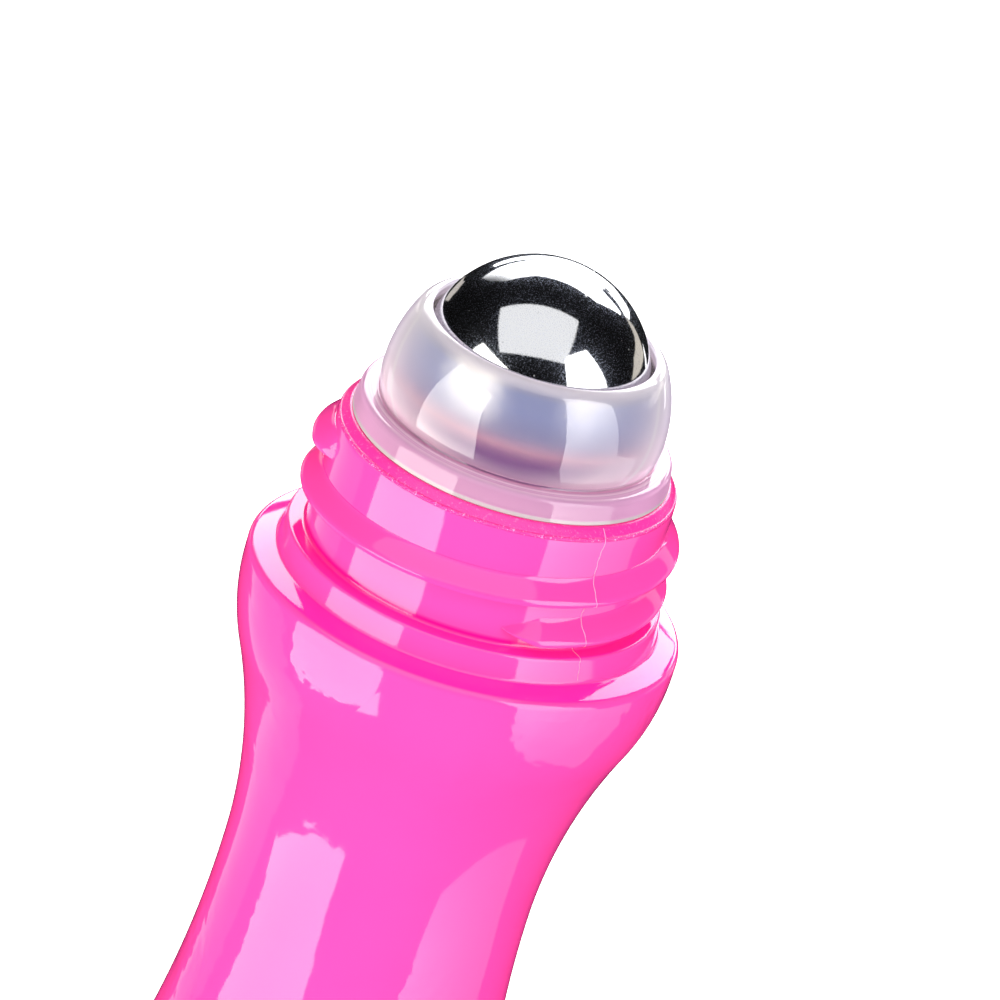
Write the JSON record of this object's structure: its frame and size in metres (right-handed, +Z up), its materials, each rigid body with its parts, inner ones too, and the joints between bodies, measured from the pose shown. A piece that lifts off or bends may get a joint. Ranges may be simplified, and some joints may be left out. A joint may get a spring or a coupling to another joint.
{
  "type": "roll-on bottle",
  "caption": "Waisted roll-on bottle with a snap-in ball housing and a polished steel ball that turns in its socket to spread the liquid.",
  "frame": {"origin": "centre of the base, on the surface that the bottle stands on", "axes": "+Z up along the bottle's axis of revolution, from the base to the ball"},
  "size_m": [0.0346, 0.0346, 0.1077],
  "materials": {
    "bottle_plastic": "glossy opaque pink moulding",
    "housing_plastic": "translucent milky lavender moulding",
    "ball_steel": "mirror polished"
  },
  "bodies": {
    "bottle": {"bottle": "bottle_plastic", "ball_housing": "housing_plastic"},
    "ball": {"ball": "ball_steel"}
  },
  "joints": [
    {"name": "ball_roll", "type": "hinge", "parent": "bottle", "child": "ball", "pos_m": [0, 0, 0.09869], "axis": [1, 0, 0], "continuous": true}
  ]
}
